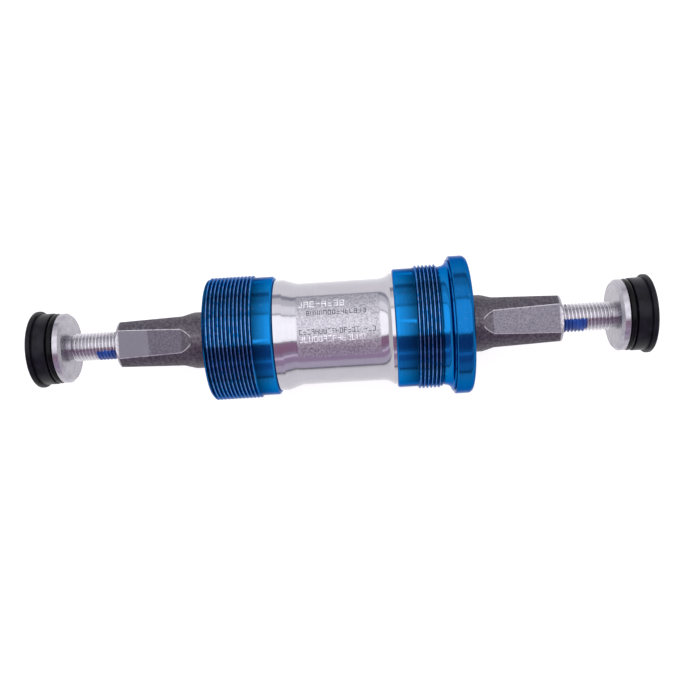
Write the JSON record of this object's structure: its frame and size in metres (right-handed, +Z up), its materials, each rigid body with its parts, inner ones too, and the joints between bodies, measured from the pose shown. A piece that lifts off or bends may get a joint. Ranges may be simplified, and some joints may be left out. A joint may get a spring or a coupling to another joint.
{
  "type": "cartridge bottom bracket",
  "caption": "Square-taper cartridge bottom bracket: a spindle on sealed bearings in an aluminium sleeve, held by threaded cups in a bicycle frame shell, with flanged crank bolts.",
  "frame": {"origin": "middle of the frame shell's width, on the spindle axis", "axes": "+X along the spindle towards the drive side (the flanged cup), +Z up, -Y towards the front viewer"},
  "size_m": [0.1731, 0.0388, 0.0388],
  "materials": {
    "blue_anodised": "deep blue anodised, satin",
    "bare_aluminium": "bare, fine turned and lightly frosted",
    "ground_steel": "dark ground steel, oiled",
    "bearing_steel": "polished",
    "spring_steel": "blackened",
    "plated_steel": "bright zinc plated",
    "blue_nylon": "matte nylon",
    "black_plastic": "fine-grained matte",
    "cage_plastic": "moulded",
    "black_rubber": "smooth black rubber"
  },
  "bodies": {
    "shell_side": {"right_cup": "blue_anodised", "sleeve": "bare_aluminium", "right_lip_seal": "black_rubber", "right_outer_race": "bearing_steel", "right_inboard_seal": "black_rubber", "right_outboard_seal": "black_rubber", "left_outer_race": "bearing_steel", "left_inboard_seal": "black_rubber", "left_outboard_seal": "black_rubber"},
    "spindle": {"spindle": "ground_steel", "right_inner_race": "bearing_steel", "left_inner_race": "bearing_steel", "right_clip": "spring_steel", "left_clip": "spring_steel"},
    "right_cage": {"right_cage": "cage_plastic", "right_balls": "bearing_steel"},
    "left_cage": {"left_cage": "cage_plastic", "left_balls": "bearing_steel"},
    "left_seal": {"left_lip_seal": "black_rubber"},
    "left_cup": {"left_cup": "blue_anodised"},
    "right_ring": {"right_dust_ring": "black_plastic", "right_o_ring": "black_rubber"},
    "right_bolt": {"right_bolt": "plated_steel", "right_locking_strip": "blue_nylon"},
    "left_ring": {"left_dust_ring": "black_plastic", "left_o_ring": "black_rubber"},
    "left_bolt": {"left_bolt": "plated_steel", "left_locking_strip": "blue_nylon"}
  },
  "joints": [
    {"name": "spindle_spin", "type": "hinge", "parent": "shell_side", "child": "spindle", "pos_m": [0, 0, 0], "axis": [1, 0, 0], "continuous": true},
    {"name": "right_cage_spin", "type": "hinge", "parent": "shell_side", "child": "right_cage", "pos_m": [0.0259, 0, 0], "axis": [1, 0, 0], "continuous": true},
    {"name": "left_cage_spin", "type": "hinge", "parent": "shell_side", "child": "left_cage", "pos_m": [-0.0205, 0, 0], "axis": [1, 0, 0], "continuous": true},
    {"name": "left_cup_travel", "type": "slide", "parent": "shell_side", "child": "left_seal", "axis": [-1, 0, 0], "range_m": [-0.00026, 0.01904]},
    {"name": "left_cup_turn", "type": "hinge", "parent": "left_seal", "child": "left_cup", "pos_m": [-0.0267, 0, 0], "axis": [-1, 0, 0], "range_deg": [-90, 6480]},
    {"name": "right_bolt_travel", "type": "slide", "parent": "spindle", "child": "right_ring", "axis": [-1, 0, 0], "range_m": [-0.006, 0.014]},
    {"name": "right_bolt_turn", "type": "hinge", "parent": "right_ring", "child": "right_bolt", "pos_m": [0.07925, 0, 0], "axis": [-1, 0, 0], "range_deg": [-2160, 5040]},
    {"name": "left_bolt_travel", "type": "slide", "parent": "spindle", "child": "left_ring", "axis": [1, 0, 0], "range_m": [-0.006, 0.014]},
    {"name": "left_bolt_turn", "type": "hinge", "parent": "left_ring", "child": "left_bolt", "pos_m": [-0.0745, 0, 0], "axis": [1, 0, 0], "range_deg": [-2160, 5040]}
  ],
  "couplings": [
    {"joint": "right_cage_spin", "follows": "spindle_spin", "ratio": 0.42944},
    {"joint": "left_cage_spin", "follows": "spindle_spin", "ratio": 0.42944},
    {"joint": "left_cup_travel", "follows": "left_cup_turn", "m_per_rad": 0.00016839},
    {"joint": "right_bolt_travel", "follows": "right_bolt_turn", "m_per_rad": 0.00015915},
    {"joint": "left_bolt_travel", "follows": "left_bolt_turn", "m_per_rad": 0.00015915}
  ]
}
